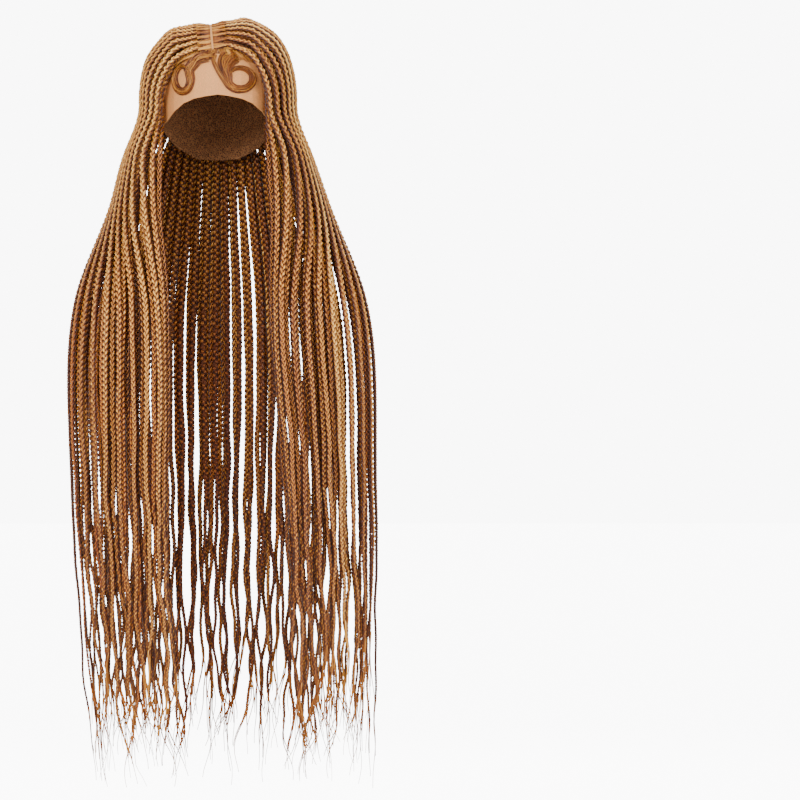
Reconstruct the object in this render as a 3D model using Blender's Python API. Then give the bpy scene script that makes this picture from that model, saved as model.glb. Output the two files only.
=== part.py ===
"""Braid wig worn long: a lace cap, a sheer lace front with two laid curls, and three rows of tapered braids.

Units are metres, +Z is up and the face looks along -Y. The origin is the crown of the head, inside the cap.
Directions on the head are unit vectors, which head_point() carries to the real, slightly squared head shape.
"""

import math
from collections import namedtuple

import bmesh
import bpy
import numpy as np

# Head that the wig is made for: half sizes, from the crown down to ear level, and how square its profile is
HEAD_HALF_WIDTH = 0.0735
HEAD_HALF_DEPTH = 0.095
HEAD_HEIGHT = 0.100
HEAD_SQUARENESS = 2.4

# Cap and lace
CAP_WALL = 0.0012
LACE_WALL = 0.0010
PIECE_GAP = 0.0003
CAP_SIDES = 32
CAP_RINGS = 6
LACE_SIDES = 7

# Braids: full size, the share of it at the root, room beside and under each, and the height above the cap
BRAID_WIDTH = 0.0080
BRAID_THICKNESS = 0.0048
BRAID_ROOT_SHARE = 0.60
BRAID_SPACING = 0.0013
ROW_CLEARANCE = 0.0023
BRAID_LIFT = 0.0016
ROOT_THICKNESS = 0.0012
ROOT_LIFT = 0.0012
ROOT_EDGE = 0.0024

# Part: an arc over the head from the hairline to this many degrees behind the crown, leaning to -X
PART_BACK = 38.0
PART_LEAN = 7.0

# Hang below the head: from the crown to the longest tip, how much shorter the shortest is, and the half
# width that the hair spreads to in front and behind
WIG_LENGTH = 0.918
TIP_SPREAD = 0.075
FRONT_SPREAD = 0.160
BACK_SPREAD = 0.137

# Laid curls on the forehead
CURL_WIDTH = 0.0046
CURL_THICKNESS = 0.0010
CURL_STEPS = 13
CURL_TIP_SHARE = 0.3

# Corners of a lock's cross-section as shares of its half width and half thickness: broad towards the head and
# narrower outwards
LOCK_CORNERS = ((-1.0, -1.0), (1.0, -1.0), (0.6, 1.0), (-0.6, 1.0))

EDGE_HAIR_COLOUR = (0.50, 0.24, 0.08, 1.0)
CAP_LACE_COLOUR = (0.64, 0.34, 0.20, 1.0)
SHEER_LACE_COLOUR = (0.75, 0.48, 0.32, 1.0)

# Rows of roots, outwards from the part. Angles are degrees round the head: the row's distance from the part,
# the width of its band of laid hair, its front end, and how far its first braid stands behind the face edge.
# layer counts the rows that lie under it at ear level, and head_steps its sections on the head.
Row = namedtuple("Row", "name part_angle band_angle front_angle behind_face layer head_steps colour")
ROWS = (
    Row("crown", 9.0, 7.0, -50.0, 0.0, 2, 6, (0.46, 0.21, 0.06, 1.0)),
    Row("middle", 32.0, 5.0, -51.0, 3.0, 1, 5, (0.40, 0.18, 0.05, 1.0)),
    Row("lower", 58.0, 4.0, -62.0, 9.0, 0, 2, (0.32, 0.14, 0.04, 1.0)),
)

# Way of the braids over the head: the share of a row's length beside the part, the share of its braids worn in
# front, the degrees before a lower row's roots where a braid starts and ends its rise over them, the degrees
# down where it leaves the head at the side and at the back, the azimuths between which the one becomes the
# other, the azimuth of each face edge by side, and how soon a braid turns downwards.
# STAGGER sets neighbouring rows off sideways, in shares of a braid's room, so that one fills the other's gaps
# below the head.
ARC_SHARE = 0.6
FRONT_SHARE = 0.50
STAGGER = 0.33
RAMP_START = 13.0
RAMP_END = 2.0
LEAVE_DOWN_SIDE = 91.0
LEAVE_DOWN_BACK = 101.0
LEAVE_TURN = (100.0, 150.0)
FACE_AZIMUTH = {-1: 46.0, 1: 36.0}
HANG_CONTROL = 0.2

# Hang of the braids below the temple, for the innermost row. Front columns run from the face edge to the
# outer edge and back columns from the outer edge to the middle of the back. Shares: down of the wig's length,
# left and right of the front spread, back_edge of the back spread, every y of the head's half depth, width of
# the braid's own width and sway of the distance between neighbours.
Station = namedtuple(
    "Station",
    "name down left_inner left_outer right_inner right_outer front_inner_y front_outer_y"
    " back_edge back_edge_y back_middle_y width sway",
)
STATIONS = (
    Station("cheek", 0.169, 0.420, 0.61, 0.358, 0.61, -0.84, 0.50, 0.64, 0.62, 1.03, 0.90, 0.00),
    Station("jaw", 0.234, 0.430, 0.71, 0.393, 0.74, -0.88, 0.32, 0.76, 0.57, 1.01, 0.90, 0.02),
    Station("shoulder", 0.360, 0.375, 0.97, 0.388, 1.01, -0.92, -0.25, 1.00, 0.63, 1.03, 0.92, 0.05),
    Station("waist", 0.610, 0.375, 1.00, 0.494, 1.09, -0.93, -0.36, 1.00, 0.67, 1.06, 0.74, 0.14),
    Station("tip", 1.000, 0.288, 0.83, 0.575, 1.07, -0.88, -0.36, 0.96, 0.67, 1.06, 0.34, 0.30),
)

# Edge of the cap and lower edge of the lace: azimuth from the front against degrees down from the crown
Edge = namedtuple("Edge", "azimuth cap lace")
EDGES = (
    Edge(0.0, 53.0, 82.0),
    Edge(20.0, 54.0, 84.0),
    Edge(38.0, 57.0, 89.0),
    Edge(53.0, 68.0, 98.0),
    Edge(62.0, 82.0, 103.0),
    Edge(75.0, 98.0, 104.0),
    Edge(110.0, 101.0, None),
    Edge(135.0, 116.0, None),
    Edge(158.0, 124.0, None),
    Edge(180.0, 125.0, None),
)

# Laid curls as seen from the front: a stem down from the hairline, then a turn round an oval ring. Every x is
# a share of the head's half width, every z a share of its height, measured down from the crown.
Curl = namedtuple("Curl", "name stem centre_x centre_z ring_x ring_z start_deg sweep_deg")
LEFT_STEM = ((-0.20, 0.405), (-0.33, 0.445), (-0.405, 0.53))
RIGHT_STEM = ((0.26, 0.410), (0.17, 0.465), (0.13, 0.55))
CURLS = (
    Curl("laid_curl_left", LEFT_STEM, -0.560, 0.67, 0.132, 0.150, 25.0, -290.0),
    Curl("laid_curl_right", RIGHT_STEM, 0.35, 0.67, 0.205, 0.128, 172.0, 290.0),
)


def clear_scene():
    for old in list(bpy.data.objects):
        bpy.data.objects.remove(old)


def unit(vector):
    vector = np.asarray(vector, float)
    return vector / np.linalg.norm(vector)


def head_direction(azimuth, down):
    """Unit vector at degrees round from the front, positive to +X, and degrees down from the crown."""
    azimuth, down = math.radians(azimuth), math.radians(down)
    return np.array([math.sin(azimuth) * math.sin(down), -math.cos(azimuth) * math.sin(down), math.cos(down)])


def head_normal(point):
    """Outward normal of the head at a point on it."""
    x, y, z = point[0] / HEAD_HALF_WIDTH, point[1] / HEAD_HALF_DEPTH, (point[2] + HEAD_HEIGHT) / HEAD_HEIGHT
    power = HEAD_SQUARENESS
    level = max(math.hypot(x, y), 1e-9) ** (power - 2)
    rise = math.copysign(abs(z) ** (power - 1), z)
    return unit([level * x / HEAD_HALF_WIDTH, level * y / HEAD_HALF_DEPTH, rise / HEAD_HEIGHT])


def head_point(direction, height):
    """(point, normal) at a height above the head's surface in a direction from its centre."""
    x, y, z = direction
    power = HEAD_SQUARENESS
    reach = (math.hypot(x, y) ** power + abs(z) ** power) ** (-1 / power)
    surface = np.array([HEAD_HALF_WIDTH * x, HEAD_HALF_DEPTH * y, HEAD_HEIGHT * z]) * reach
    surface[2] -= HEAD_HEIGHT
    normal = head_normal(surface)
    return surface + normal * height, normal


def lean(direction, degrees):
    """A direction turned about the Y axis, from upright towards -X."""
    x, y, z = direction
    turn = math.radians(degrees)
    return np.array([x * math.cos(turn) - z * math.sin(turn), y, x * math.sin(turn) + z * math.cos(turn)])


def part_angle_of(direction):
    """Degrees between a direction and the nearest point of the part."""
    direction = lean(direction, -PART_LEAN)
    along = math.degrees(math.atan2(direction[1], direction[2]))
    if along <= PART_BACK:
        return math.degrees(math.asin(min(1.0, abs(direction[0]))))
    back = math.radians(PART_BACK)
    return math.degrees(math.acos(min(1.0, direction[1] * math.sin(back) + direction[2] * math.cos(back))))


def row_direction(row, side, along, angle):
    """Unit vector on a row: along runs from 0 at the hairline, past the part's end, to 1 at the back."""
    angle = math.radians(angle)
    arc = min(1.0, along / ARC_SHARE)
    turn = math.radians(90) * max(0.0, along - ARC_SHARE) / (1 - ARC_SHARE)
    place = math.radians(row.front_angle + (PART_BACK - row.front_angle) * arc)
    on_part = np.array([0.0, math.sin(place), math.cos(place)])
    backward = np.array([0.0, math.cos(place), -math.sin(place)])
    sideways = np.array([float(side), 0.0, 0.0])
    away = sideways * math.cos(turn) + backward * math.sin(turn)
    return lean(on_part * math.cos(angle) + away * math.sin(angle), PART_LEAN)


def row_measure(row):
    """(own parameter, distance) along one side of a row, so that roots are set out by real distance."""
    along = np.linspace(0, 1, 81)
    points = np.array([head_point(row_direction(row, 1, a, row.part_angle), CAP_WALL)[0] for a in along])
    steps = np.linalg.norm(np.diff(points, axis=0), axis=1)
    return along, np.concatenate([[0.0], np.cumsum(steps)])


def braids_per_side(row):
    return int(row_measure(row)[1][-1] / (BRAID_WIDTH + BRAID_SPACING))


def row_place(row, count, position):
    """(side, own parameter) at a position counted in braids from the left hairline round to the right one."""
    side = -1 if position < count else 1
    from_front = count - abs(position - count)
    along, distance = row_measure(row)
    return side, float(np.interp(from_front / count * distance[-1], distance, along))


def scatter(*keys):
    """A repeatable value from -1 to 1 for whole-number keys."""
    value = math.sin(sum(k * w for k, w in zip(keys, (12.9898, 78.233, 37.719)))) * 43758.5453
    return 2 * (value - math.floor(value)) - 1


def smooth_step(value, low, high):
    share = min(1.0, max(0.0, (value - low) / (high - low)))
    return share * share * (3 - 2 * share)


ROW_PITCH = BRAID_THICKNESS + ROW_CLEARANCE


def lift_over_rows(row, angle, share):
    """How far a row is raised by those under it: on passing their roots, and by the end of its way down."""
    passed = [r for r in ROWS if r.part_angle > row.part_angle]
    starts = [r.part_angle - RAMP_START * (row.layer - r.layer) for r in passed]
    ramps = [smooth_step(angle, low, r.part_angle - RAMP_END) for low, r in zip(starts, passed)]
    return ROW_PITCH * sum(max(ramp, smooth_step(share, 0.3, 0.9)) for ramp in ramps)


def quarter_oval(wide, deep, share):
    """(along wide, along deep, outward) at a share of the way round a quarter oval, from its deep end."""
    turns = np.linspace(0, math.pi / 2, 41)
    points = np.stack([wide * np.sin(turns), deep * np.cos(turns)], axis=1)
    length = np.concatenate([[0.0], np.cumsum(np.linalg.norm(np.diff(points, axis=0), axis=1))])
    turn = float(np.interp(share * length[-1], length, turns))
    return wide * math.sin(turn), deep * math.cos(turn), unit([deep * math.sin(turn), wide * math.cos(turn)])


def hang_place(station, side, share, is_front, tip):
    """(point, outward) at a station for a share of a curtain, from the face edge or the outer back edge."""
    if is_front:
        left = side < 0
        inner = FRONT_SPREAD * (station.left_inner if left else station.right_inner)
        outer = FRONT_SPREAD * (station.left_outer if left else station.right_outer)
        nearest, farthest = HEAD_HALF_DEPTH * station.front_outer_y, HEAD_HALF_DEPTH * station.front_inner_y
        across, ahead, out = quarter_oval(outer - inner, nearest - farthest, share)
        x, y, out = inner + across, nearest - ahead, (out[0], -out[1])
    else:
        edge, middle = HEAD_HALF_DEPTH * station.back_edge_y, HEAD_HALF_DEPTH * station.back_middle_y
        x, behind, out = quarter_oval(BACK_SPREAD * station.back_edge, middle - edge, 1 - share)
        y = edge + behind
    z = tip if station is STATIONS[-1] else -WIG_LENGTH * station.down
    return np.array([side * x, y, z]), np.array([side * out[0], out[1], 0.0])


Section = namedtuple("Section", "centre outward width")


def braid_sections(row, count, index):
    """Sections of one braid from just past its root to its tip."""
    side, along = row_place(row, count, index + 0.5)
    order = index if side < 0 else 2 * count - 1 - index
    face = FACE_AZIMUTH[side] + row.behind_face
    azimuth = side * (face + (180 - face) * (order + 0.5) / count)
    root = row_direction(row, side, along, row.part_angle)
    root_down = math.degrees(math.acos(root[2]))
    backward = smooth_step(abs(azimuth), *LEAVE_TURN)
    leave_down = LEAVE_DOWN_SIDE + (LEAVE_DOWN_BACK - LEAVE_DOWN_SIDE) * backward
    control = head_direction(azimuth, root_down + HANG_CONTROL * (leave_down - root_down))
    leave = head_direction(azimuth, leave_down)
    sections = []
    for step in range(1, row.head_steps + 1):
        t = step / row.head_steps
        direction = unit((1 - t) ** 2 * root + 2 * t * (1 - t) * control + t * t * leave)
        lift = lift_over_rows(row, part_angle_of(direction), t)
        height = CAP_WALL + BRAID_LIFT + BRAID_THICKNESS / 2 + lift
        width = BRAID_WIDTH * (BRAID_ROOT_SHARE + (STATIONS[0].width - BRAID_ROOT_SHARE) * t)
        sections.append(Section(*head_point(direction, height), width))
    front_count = round(FRONT_SHARE * count)
    is_front = order < front_count
    place = (order + 0.5) / front_count if is_front else (order - front_count + 0.5) / (count - front_count)
    spacing = 1 / front_count if is_front else 1 / (count - front_count)
    tip = TIP_SPREAD * (0.5 + 0.5 * scatter(index, row.layer, 7)) - WIG_LENGTH
    stagger = STAGGER * (row.layer - 1) * (1 if is_front else side)
    for number, station in enumerate(STATIONS):
        offset = stagger + station.sway * scatter(index, row.layer, number)
        share = place + spacing * offset
        point, outward = hang_place(station, side, share, is_front, tip)
        centre = point + outward * row.layer * ROW_PITCH
        sections.append(Section(centre, outward, BRAID_WIDTH * station.width))
    return sections


def lock_ring(before, section, after):
    """Corners of a lock's cross-section, square to the way from the section before it to the one after."""
    along = unit(after - before)
    across = unit(np.cross(section.outward, along))
    out = np.cross(along, across)
    half_width = section.width / 2
    half_thick = half_width * BRAID_THICKNESS / BRAID_WIDTH
    return [section.centre + across * half_width * a + out * half_thick * o for a, o in LOCK_CORNERS]


def material(name, colour, roughness):
    made = bpy.data.materials.new(name)
    made.use_nodes = True
    shader = made.node_tree.nodes["Principled BSDF"]
    shader.inputs["Base Color"].default_value = colour
    shader.inputs["Roughness"].default_value = roughness
    shader.inputs["Metallic"].default_value = 0.0
    return made


def finish_object(name, bm, finish):
    bmesh.ops.recalc_face_normals(bm, faces=bm.faces)
    mesh = bpy.data.meshes.new(name)
    bm.to_mesh(mesh)
    bm.free()
    made = bpy.data.objects.new(name, mesh)
    made.data.materials.append(finish)
    bpy.context.scene.collection.objects.link(made)
    made.data.shade_smooth()
    return made


def loft(bm, rings, closed):
    """Faces between neighbouring rows of vertices."""
    for low, high in zip(rings, rings[1:]):
        last = len(low) if closed else len(low) - 1
        for i in range(last):
            j = (i + 1) % len(low)
            bm.faces.new((low[i], low[j], high[j], high[i]))


def edge_angles(azimuth):
    """Degrees down from the crown of the cap's edge and of the lace's lower edge, at an azimuth."""
    at = abs(azimuth)
    cap = np.interp(at, [e.azimuth for e in EDGES], [e.cap for e in EDGES])
    laced = [e for e in EDGES if e.lace is not None]
    lace = np.interp(at, [e.azimuth for e in laced], [e.lace for e in laced])
    return float(cap), float(lace)


def make_cap(finish):
    """Stretch lace cap: a dome cut along the hairline, over the ears and round the nape."""
    bm = bmesh.new()
    crown = bm.verts.new(head_point(np.array([0.0, 0.0, 1.0]), 0.0)[0])
    rings = []
    for ring in range(1, CAP_RINGS + 1):
        verts = []
        for side in range(CAP_SIDES):
            azimuth = 360 * side / CAP_SIDES
            signed = azimuth if azimuth <= 180 else azimuth - 360
            down = edge_angles(signed)[0] * ring / CAP_RINGS
            verts.append(bm.verts.new(head_point(head_direction(azimuth, down), 0.0)[0]))
        rings.append(verts)
    for i in range(CAP_SIDES):
        bm.faces.new((crown, rings[0][i], rings[0][(i + 1) % CAP_SIDES]))
    loft(bm, rings, closed=True)
    cap = finish_object("cap", bm, finish)
    wall = cap.modifiers.new("Wall", "SOLIDIFY")
    wall.thickness = CAP_WALL
    wall.offset = 1.0
    return cap


def make_lace_front(finish):
    """Sheer lace that goes on below the hairline, from one ear over the forehead to the other."""
    bm = bmesh.new()
    rings = []
    seam = math.degrees(2 * PIECE_GAP / HEAD_HALF_WIDTH)
    for share in (0.0, 0.34, 0.67, 1.0):
        verts = []
        for side in range(-LACE_SIDES, LACE_SIDES + 1):
            azimuth = 360 * side / CAP_SIDES
            top, bottom = edge_angles(azimuth)
            top += seam
            down = top + (bottom - top) * share
            verts.append(bm.verts.new(head_point(head_direction(azimuth, down), 0.0)[0]))
        rings.append(verts)
    loft(bm, rings, closed=False)
    lace = finish_object("lace_front", bm, finish)
    wall = lace.modifiers.new("Wall", "SOLIDIFY")
    wall.thickness = LACE_WALL
    wall.offset = 1.0
    return lace


def make_braids(name, row, count, first, last, finish):
    """One node of braids: a band of laid root hair with a lock drawn out of its outer side for each braid."""
    bm = bmesh.new()
    inner_angle = row.part_angle - row.band_angle
    end_inset = PIECE_GAP / (BRAID_WIDTH + BRAID_SPACING)
    marks = [float(p) for p in range(first, last + 1)]
    marks[0] += end_inset
    marks[-1] -= end_inset

    def corner(position, angle, height):
        side, along = row_place(row, count, position)
        return bm.verts.new(head_point(row_direction(row, side, along, angle), CAP_WALL + height)[0])

    inner_low = [corner(p, inner_angle, PIECE_GAP) for p in marks]
    inner_high = [corner(p, inner_angle, PIECE_GAP + ROOT_THICKNESS) for p in marks]
    outer_low = [corner(p, row.part_angle, ROOT_LIFT) for p in marks]
    outer_high = [corner(p, row.part_angle, ROOT_LIFT + ROOT_EDGE) for p in marks]
    roots = []
    for i in range(last - first):
        bm.faces.new((inner_low[i], inner_low[i + 1], outer_low[i + 1], outer_low[i]))
        bm.faces.new((inner_low[i], inner_high[i], inner_high[i + 1], inner_low[i + 1]))
        bm.faces.new((inner_high[i], outer_high[i], outer_high[i + 1], inner_high[i + 1]))
        roots.append(bm.faces.new((outer_low[i], outer_low[i + 1], outer_high[i + 1], outer_high[i])))
    for i in (0, -1):
        bm.faces.new((inner_low[i], outer_low[i], outer_high[i], inner_high[i]))
    for index, root in zip(range(first, last), roots):
        draw_out_lock(bm, root, braid_sections(row, count, index))
    return finish_object(name, bm, finish)


def draw_out_lock(bm, face, sections):
    """Extrudes a root face through a braid's sections."""
    corners = [np.array(v.co) for v in face.verts]
    centres = [np.mean(corners, axis=0)] + [s.centre for s in sections]
    centres.append(2 * centres[-1] - centres[-2])
    rings = [lock_ring(centres[i], section, centres[i + 2]) for i, section in enumerate(sections)]
    order = lock_order(corners, rings[0])
    for ring in rings:
        face = bmesh.ops.extrude_discrete_faces(bm, faces=[face])["faces"][0]
        for vert, place in zip(face.verts, order):
            vert.co = ring[place]


def lock_order(corners, ring):
    """Which section corner each root corner goes to: the rotation or mirror with the shortest total reach."""
    best = None
    count = len(ring)
    shift = np.mean(corners, axis=0) - np.mean(ring, axis=0)
    for sense in (1, -1):
        for turn in range(count):
            order = [(turn + sense * j) % count for j in range(count)]
            reach = sum(np.linalg.norm(ring[o] + shift - c) for o, c in zip(order, corners))
            if best is None or reach < best[0]:
                best = (reach, order)
    return best[1]


def brow_point(x, z, height):
    """(point, normal) on the front of the head at a place seen from the front."""
    level = (1 - abs((z + HEAD_HEIGHT) / HEAD_HEIGHT) ** HEAD_SQUARENESS) ** (1 / HEAD_SQUARENESS)
    y = -HEAD_HALF_DEPTH * math.sqrt(level * level - (x / HEAD_HALF_WIDTH) ** 2)
    point = np.array([x, y, z])
    normal = head_normal(point)
    return point + normal * height, normal


BAND_CORNERS = ((-1, -1), (1, -1), (1, 1), (-1, 1))


def make_curl(curl, finish):
    """Short edge hair combed flat on the lace into a curl."""
    places = list(curl.stem)
    for i in range(CURL_STEPS + 1):
        turn = math.radians(curl.start_deg + curl.sweep_deg * i / CURL_STEPS)
        x = curl.centre_x + curl.ring_x * math.cos(turn)
        places.append((x, curl.centre_z - curl.ring_z * math.sin(turn)))
    places = [(HEAD_HALF_WIDTH * x, -HEAD_HEIGHT * z) for x, z in places]
    height = LACE_WALL + PIECE_GAP + CURL_THICKNESS / 2
    points, normals = zip(*(brow_point(x, z, height) for x, z in places))
    bm = bmesh.new()
    rings = []
    for i, (point, normal) in enumerate(zip(points, normals)):
        along = unit(points[min(i + 1, len(points) - 1)] - points[max(i - 1, 0)])
        across = unit(np.cross(normal, along))
        taper = 1 - (1 - CURL_TIP_SHARE) * max(0.0, 2 * i / (len(points) - 1) - 1)
        half_width, half_thick = CURL_WIDTH * taper / 2, CURL_THICKNESS / 2
        ring = [point + across * half_width * a + normal * half_thick * n for a, n in BAND_CORNERS]
        rings.append([bm.verts.new(corner) for corner in ring])
    loft(bm, rings, closed=True)
    bm.faces.new(rings[0])
    bm.faces.new(rings[-1])
    return finish_object(curl.name, bm, finish)


def main():
    clear_scene()
    make_cap(material("stretch lace", CAP_LACE_COLOUR, 0.8))
    make_lace_front(material("sheer lace", SHEER_LACE_COLOUR, 0.7))
    edge_hair = material("edge hair", EDGE_HAIR_COLOUR, 0.45)
    for curl in CURLS:
        make_curl(curl, edge_hair)
    for row in ROWS:
        hair = material(f"{row.name} braid hair", row.colour, 0.45)
        count = braids_per_side(row)
        front = round(FRONT_SHARE * count)
        make_braids(f"{row.name}_braids_left", row, count, 0, front, hair)
        make_braids(f"{row.name}_braids_back", row, count, front, 2 * count - front, hair)
        make_braids(f"{row.name}_braids_right", row, count, 2 * count - front, 2 * count, hair)


main()
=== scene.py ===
"""Long honey-brown braid wig, shown worn: knotless box braids on a lace cap, with a sheer lace front."""

import functools
import math
from collections import namedtuple

import bmesh
import bpy
import numpy as np
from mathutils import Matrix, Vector


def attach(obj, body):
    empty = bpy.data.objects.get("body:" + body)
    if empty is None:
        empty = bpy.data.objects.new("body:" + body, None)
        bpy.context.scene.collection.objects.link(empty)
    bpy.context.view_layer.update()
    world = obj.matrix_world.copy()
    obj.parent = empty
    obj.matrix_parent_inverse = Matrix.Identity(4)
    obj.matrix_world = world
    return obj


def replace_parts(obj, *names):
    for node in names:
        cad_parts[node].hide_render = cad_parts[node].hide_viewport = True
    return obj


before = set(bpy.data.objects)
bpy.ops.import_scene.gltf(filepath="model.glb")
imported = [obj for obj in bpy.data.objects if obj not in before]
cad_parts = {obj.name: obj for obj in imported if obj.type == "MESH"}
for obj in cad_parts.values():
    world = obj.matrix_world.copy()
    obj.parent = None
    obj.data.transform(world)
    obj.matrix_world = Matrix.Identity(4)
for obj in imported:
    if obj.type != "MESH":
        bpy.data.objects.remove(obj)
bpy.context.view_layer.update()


# Camera
# Level and square to the front of the wig. From this far off the hairline stays as low as the photograph has
# it. The wig stands left of the middle, with its crown and its centre line where the photograph has them.
MM_PER_PIXEL = 1.2
CENTRE_COLUMN = 218
CROWN_ROW = 25.3
FRAME_PIXELS = 800
CAMERA_DISTANCE = 12.0
CAMERA_REACH = 50.0

frame_width = FRAME_PIXELS * MM_PER_PIXEL / 1000
aim = Vector((
    (FRAME_PIXELS / 2 - CENTRE_COLUMN) * MM_PER_PIXEL / 1000,
    0.0,
    (CROWN_ROW - FRAME_PIXELS / 2) * MM_PER_PIXEL / 1000,
))
camera = bpy.data.objects.new("camera", bpy.data.cameras.new("camera"))
camera.location = (0.0, -CAMERA_DISTANCE, aim.z)
camera.rotation_euler = (aim - camera.location).to_track_quat("-Z", "Y").to_euler()
camera.data.lens = camera.data.sensor_width * CAMERA_DISTANCE / frame_width
camera.data.clip_end = CAMERA_REACH
bpy.context.scene.collection.objects.link(camera)
bpy.context.scene.camera = camera


# Stretch lace cap
# A dome of soft knitted mesh that the hair is tied into, cut along the hairline. Along the part it has a
# strip dyed like a scalp, which shows as a thin line, and elsewhere it is plain brown net, inside as well.
SCALP = "#CF945E"
# Painted shade in the net's holes, standing for the hollow seen through them
CAP_HOLE_SHADE = "#4E2E1A"
CAP_THREAD = "#9A6A44"
CAP_NET_MM = 2.2
CAP_THREAD_SHARE = (0.06, 0.22)
CAP_THREAD_SINK = 0.0002
PART_LEAN = 7.0
HEAD_SIZE = (0.0735, 0.095, 0.100)
PART_STRIP = (0.030, 0.055)
PART_STRIP_DOWN = 0.042


def colour(text):
    """Linear RGBA of an sRGB hex colour."""
    parts = [int(text[i:i + 2], 16) / 255 for i in (1, 3, 5)]
    linear = [p / 12.92 if p <= 0.04045 else ((p + 0.055) / 1.055) ** 2.4 for p in parts]
    return (*linear, 1.0)


def add(tree, kind, inputs=(), **settings):
    """Adds a node. inputs pairs a socket with a value or with another node's socket."""
    made = tree.nodes.new(kind)
    for name, value in settings.items():
        setattr(made, name, value)
    for socket, value in dict(inputs).items():
        if isinstance(value, bpy.types.NodeSocket):
            tree.links.new(value, made.inputs[socket])
        else:
            made.inputs[socket].default_value = value
    return made


def new_material(name, **shader):
    """A material's node tree and its Principled shader, with constants set on the shader's own sockets."""
    made = bpy.data.materials.new(name)
    made.use_nodes = True
    principled = made.node_tree.nodes["Principled BSDF"]
    for socket, value in shader.items():
        principled.inputs[socket.replace("_", " ")].default_value = value
    return made, made.node_tree, principled


def dress(node, material):
    """Gives a CAD node a finished material."""
    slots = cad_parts[node].data.materials
    slots.clear()
    slots.append(material)


# Knitted polyester mesh: matt, with a net of fine threads round holes painted dark as the shade seen through
# the open mesh, drawn coarser than it is so that it shows. The dyed strip is told apart by its distance from
# the part's plane, in shares of the cap's half width, and by how far down it lies.
knit, tree, shader = new_material("knitted polyester mesh", Roughness=0.85, Specular_IOR_Level=0.2)
place = add(tree, "ShaderNodeTexCoord").outputs["Object"]
net = add(
    tree, "ShaderNodeTexVoronoi", {"Vector": place, "Scale": 1000 / CAP_NET_MM},
    feature="DISTANCE_TO_EDGE",
)
hole = add(
    tree, "ShaderNodeMapRange",
    {"Value": net.outputs["Distance"], "From Min": CAP_THREAD_SHARE[0], "From Max": CAP_THREAD_SHARE[1]},
)
netting = add(
    tree, "ShaderNodeMix",
    {"Factor": hole.outputs["Result"], "A": colour(CAP_THREAD), "B": colour(CAP_HOLE_SHADE)},
    data_type="RGBA",
)
lean_angle = math.radians(PART_LEAN)
part_normal = (math.cos(lean_angle) / HEAD_SIZE[0], 0.0, math.sin(lean_angle) / HEAD_SIZE[2])
beside_part = add(tree, "ShaderNodeVectorMath", {0: place, 1: part_normal}, operation="DOT_PRODUCT")
from_plane = add(
    tree, "ShaderNodeMath", {0: beside_part.outputs["Value"], 1: math.sin(lean_angle)}, operation="ADD",
)
distance = add(tree, "ShaderNodeMath", {0: from_plane.outputs["Value"]}, operation="ABSOLUTE")
plain = add(
    tree, "ShaderNodeMapRange",
    {"Value": distance.outputs["Value"], "From Min": PART_STRIP[0], "From Max": PART_STRIP[1]},
)
height = add(tree, "ShaderNodeSeparateXYZ", {"Vector": place}).outputs["Z"]
low = add(tree, "ShaderNodeMath", {0: height, 1: -PART_STRIP_DOWN}, operation="LESS_THAN")
undyed = add(
    tree, "ShaderNodeMath", {0: plain.outputs["Result"], 1: low.outputs["Value"]}, operation="MAXIMUM",
)
base = add(
    tree, "ShaderNodeMix",
    {"Factor": undyed.outputs["Value"], "A": colour(SCALP), "B": netting.outputs["Result"]},
    data_type="RGBA",
)
tree.links.new(base.outputs["Result"], shader.inputs["Base Color"])
bump = add(
    tree, "ShaderNodeBump",
    {"Height": hole.outputs["Result"], "Strength": 0.4, "Distance": -CAP_THREAD_SINK},
)
tree.links.new(bump.outputs["Normal"], shader.inputs["Normal"])
dress("cap", knit)


# Sheer lace front
# A fine net, sewn to the cap's front edge from ear to ear, dyed a skin tone and left uncut below the
# hairline. It is so thin that the eye sees a tint and, close to, a net of tiny cells.
LACE_TINT = "#FFBA74"
LACE_THREAD = "#F0A05C"
LACE_NET_MM = 1.8
LACE_THREAD_SHARE = (0.02, 0.12)
LACE_COVER = (0.42, 0.72)

# Dyed sheer lace: a soft tint that what lies behind shows through, denser along its threads. The real cells
# are too small to see at this size, so they are drawn coarser.
lace, tree, shader = new_material("dyed sheer lace", Roughness=0.6, Specular_IOR_Level=0.3)
place = add(tree, "ShaderNodeTexCoord").outputs["Object"]
net = add(
    tree, "ShaderNodeTexVoronoi", {"Vector": place, "Scale": 1000 / LACE_NET_MM},
    feature="DISTANCE_TO_EDGE",
)
thread = add(
    tree, "ShaderNodeMapRange",
    {
        "Value": net.outputs["Distance"],
        "From Min": LACE_THREAD_SHARE[0], "From Max": LACE_THREAD_SHARE[1],
        "To Min": 1.0, "To Max": 0.0,
    },
)
base = add(
    tree, "ShaderNodeMix",
    {"Factor": thread.outputs["Result"], "A": colour(LACE_TINT), "B": colour(LACE_THREAD)},
    data_type="RGBA",
)
tree.links.new(base.outputs["Result"], shader.inputs["Base Color"])
sheer = add(
    tree, "ShaderNodeMapRange",
    {"Value": thread.outputs["Result"], "To Min": LACE_COVER[0], "To Max": LACE_COVER[1]},
)
tree.links.new(sheer.outputs["Result"], shader.inputs["Alpha"])
dress("lace_front", lace)


# Braids
# Each is a knotless plait of three strands of synthetic hair: it starts thin at its box, fattens over the
# cap, and tapers down its length into loose wisps. The routes are the CAD model's, smoothed and set swaying.

# The cap fits an oval form of these half sizes, squared a little
HEAD = np.array(HEAD_SIZE)
SQUARENESS = 2.4
CAP_WALL = 0.0012

# A braid at its fullest and its share of that at the root, the pitch of the boxes along a row, how far the
# rows stand off each other, and how far a braid stands off the cap
BRAID_WIDTH = 0.0080
BRAID_THICKNESS = 0.0048
BRAID_ROOT_SHARE = 0.60
BRAID_PITCH = 0.0093
ROW_PITCH = 0.0071
BRAID_LIFT = 0.0016
ROOT_LIFT_SHARE = 0.55
ROOT_LIFT_END = 0.25
FULL_WIDTH_AT = 0.5

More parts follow.
